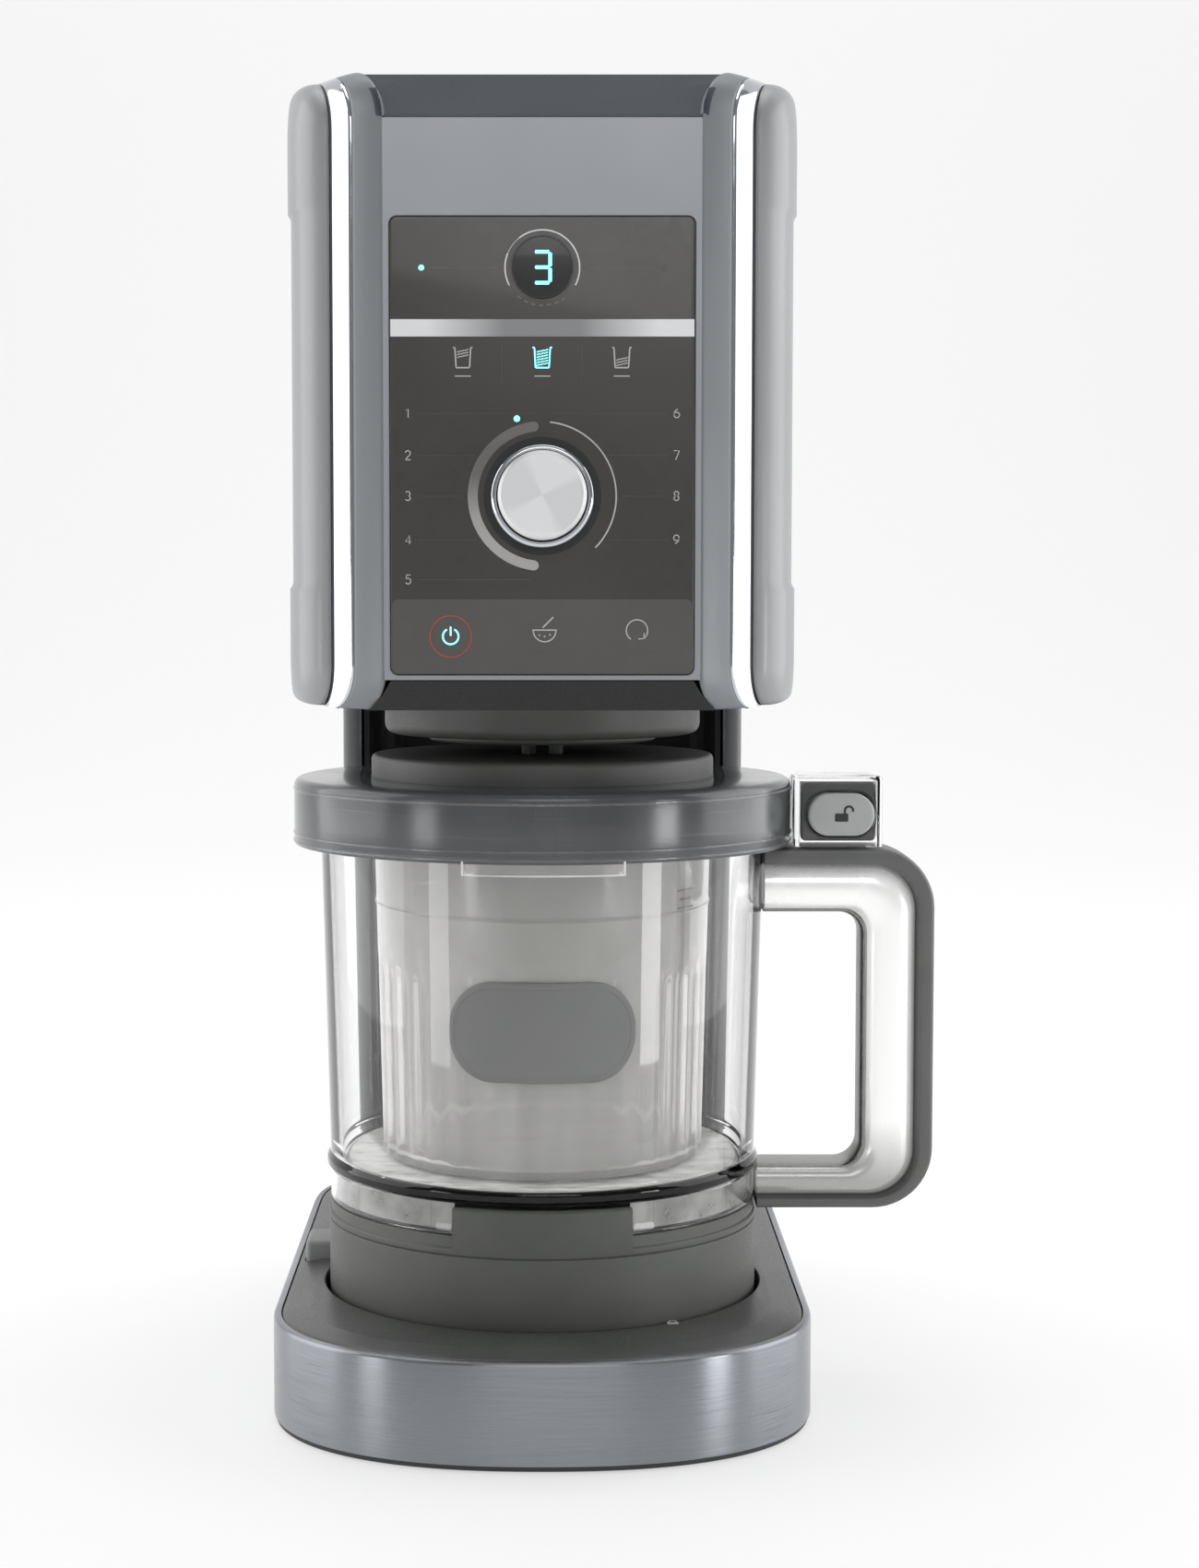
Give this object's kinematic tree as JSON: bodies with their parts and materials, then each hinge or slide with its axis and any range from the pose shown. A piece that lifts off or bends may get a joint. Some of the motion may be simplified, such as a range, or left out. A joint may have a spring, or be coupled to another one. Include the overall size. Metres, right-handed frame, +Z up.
{
  "type": "ice cream maker",
  "caption": "Countertop ice cream maker: a tall head with a dial panel over a clear lidded bowl and pint on a lifting turntable, with a side handle.",
  "frame": {"origin": "centre of the overall footprint, on the counter", "axes": "+Z up, the control panel faces -Y, the bowl's handle points to +X"},
  "size_m": [0.2158, 0.283, 0.4216],
  "materials": {
    "silver_paint": "satin",
    "side_paint": "satin",
    "chrome": "polished",
    "dark_plastic": "fine texture",
    "black_plastic": "fine texture",
    "panel_black": "semi-gloss",
    "band_metal": "satin",
    "clear_plastic": "clear, polished",
    "smoke_plastic": "tinted clear, polished",
    "grey_plastic": "moulded",
    "brushed_aluminium": "brushed",
    "steel": "machined",
    "motor_case": "painted",
    "rubber": "matte",
    "circuit_board": "solder mask"
  },
  "bodies": {
    "root": {"base_tray": "black_plastic", "base_band": "band_metal", "base_top_plate": "dark_plastic", "cord_gland": "rubber", "foot_front_left": "rubber", "foot_front_right": "rubber", "foot_rear_left": "rubber", "foot_rear_right": "rubber", "cam_ring": "grey_plastic", "release_spring": "steel", "column_shell": "side_paint", "column_liner": "black_plastic", "head_front_shell": "silver_paint", "chin_panel": "black_plastic", "trim_strip_left": "chrome", "trim_strip_right": "chrome", "side_panel_left": "side_paint", "side_panel_right": "side_paint", "rear_cover": "side_paint", "top_cover": "silver_paint", "head_bottom_cover": "dark_plastic", "control_panel": "panel_black", "display_lens": "panel_black", "knob_bezel": "chrome", "dial_encoder": "black_plastic", "control_board": "circuit_board", "coupling_housing": "dark_plastic", "coupling_collar": "dark_plastic", "spindle_bearing": "steel", "chassis_lower": "steel", "chassis_upper": "steel", "guide_rod_left": "steel", "guide_rod_right": "steel", "position_motor": "motor_case"},
    "release_button": {"release_button": "grey_plastic"},
    "lift_sleeve": {"lift_sleeve": "grey_plastic"},
    "platform": {"platform_ring": "dark_plastic", "outer_bowl": "clear_plastic", "bowl_foot": "clear_plastic", "bowl_handle": "smoke_plastic", "handle_strip": "dark_plastic", "pint": "clear_plastic"},
    "lid": {"lid_ring": "smoke_plastic", "lid_hub": "dark_plastic", "lid_seal": "rubber", "latch_box": "clear_plastic", "latch_housing": "black_plastic"},
    "lid_bush": {"lid_bush": "black_plastic"},
    "paddle": {"paddle": "grey_plastic"},
    "lid_button": {"lid_button": "grey_plastic"},
    "carriage": {"carriage_plate": "steel", "gearbox_tray": "grey_plastic", "drive_motor": "motor_case", "lead_nut": "grey_plastic"},
    "spindle": {"spindle_shaft": "steel", "drive_gear": "steel"},
    "motor_pinion": {"motor_pinion": "steel"},
    "lead_screw": {"lead_screw": "steel"},
    "dial_shaft": {"encoder_shaft": "steel"},
    "dial": {"knob_cap": "brushed_aluminium"}
  },
  "joints": [
    {"name": "bowl_turn", "type": "hinge", "parent": "root", "child": "lift_sleeve", "pos_m": [-0.0214, -0.0395, 0.02], "axis": [0, 0, 1], "range_deg": [-90, 0]},
    {"name": "platform_lift", "type": "slide", "parent": "lift_sleeve", "child": "platform", "axis": [0, 0, 1], "range_m": [-0.0245, 0]},
    {"name": "lid_turn", "type": "hinge", "parent": "platform", "child": "lid", "pos_m": [-0.0214, -0.0395, 0.195], "axis": [0, 0, 1], "range_deg": [0, 25]},
    {"name": "paddle_spin", "type": "hinge", "parent": "lid", "child": "lid_bush", "pos_m": [-0.0214, -0.0395, 0.208], "axis": [0, 0, 1], "continuous": true},
    {"name": "paddle_plunge", "type": "slide", "parent": "lid_bush", "child": "paddle", "axis": [0, 0, 1], "range_m": [-0.1, 0]},
    {"name": "lid_button_press", "type": "slide", "parent": "lid", "child": "lid_button", "axis": [0, 1, 0], "range_m": [0, 0.003], "stiffness_N_per_m": 500, "springref_m": -0.002},
    {"name": "bowl_release_press", "type": "slide", "parent": "root", "child": "release_button", "axis": [0, 0, -1], "range_m": [0, 0.004], "stiffness_N_per_m": 700, "springref_m": -0.002, "deforming": ["release_spring"]},
    {"name": "spindle_plunge", "type": "slide", "parent": "root", "child": "carriage", "axis": [0, 0, 1], "range_m": [-0.1, 0]},
    {"name": "spindle_spin", "type": "hinge", "parent": "carriage", "child": "spindle", "pos_m": [-0.0214, -0.0395, 0.3], "axis": [0, 0, 1], "continuous": true},
    {"name": "pinion_spin", "type": "hinge", "parent": "carriage", "child": "motor_pinion", "pos_m": [-0.0214, 0.0005, 0.355], "axis": [0, 0, 1], "continuous": true},
    {"name": "screw_turn", "type": "hinge", "parent": "root", "child": "lead_screw", "pos_m": [-0.0214, 0.0525, 0.3], "axis": [0, 0, 1], "range_deg": [0, 4500.5]},
    {"name": "dial_press", "type": "slide", "parent": "root", "child": "dial_shaft", "axis": [0, 1, 0], "range_m": [0, 0.0015], "stiffness_N_per_m": 1200, "springref_m": -0.001},
    {"name": "dial_turn", "type": "hinge", "parent": "dial_shaft", "child": "dial", "pos_m": [-0.0214, -0.1248, 0.2933], "axis": [0, -1, 0], "continuous": true}
  ],
  "couplings": [
    {"joint": "platform_lift", "follows": "bowl_turn", "m_per_rad": 0.01559},
    {"joint": "paddle_plunge", "follows": "spindle_plunge", "ratio": 1},
    {"joint": "paddle_spin", "follows": "spindle_spin", "ratio": 1},
    {"joint": "pinion_spin", "follows": "spindle_spin", "ratio": -3},
    {"joint": "screw_turn", "follows": "spindle_plunge", "rad_per_m": -785.4}
  ]
}
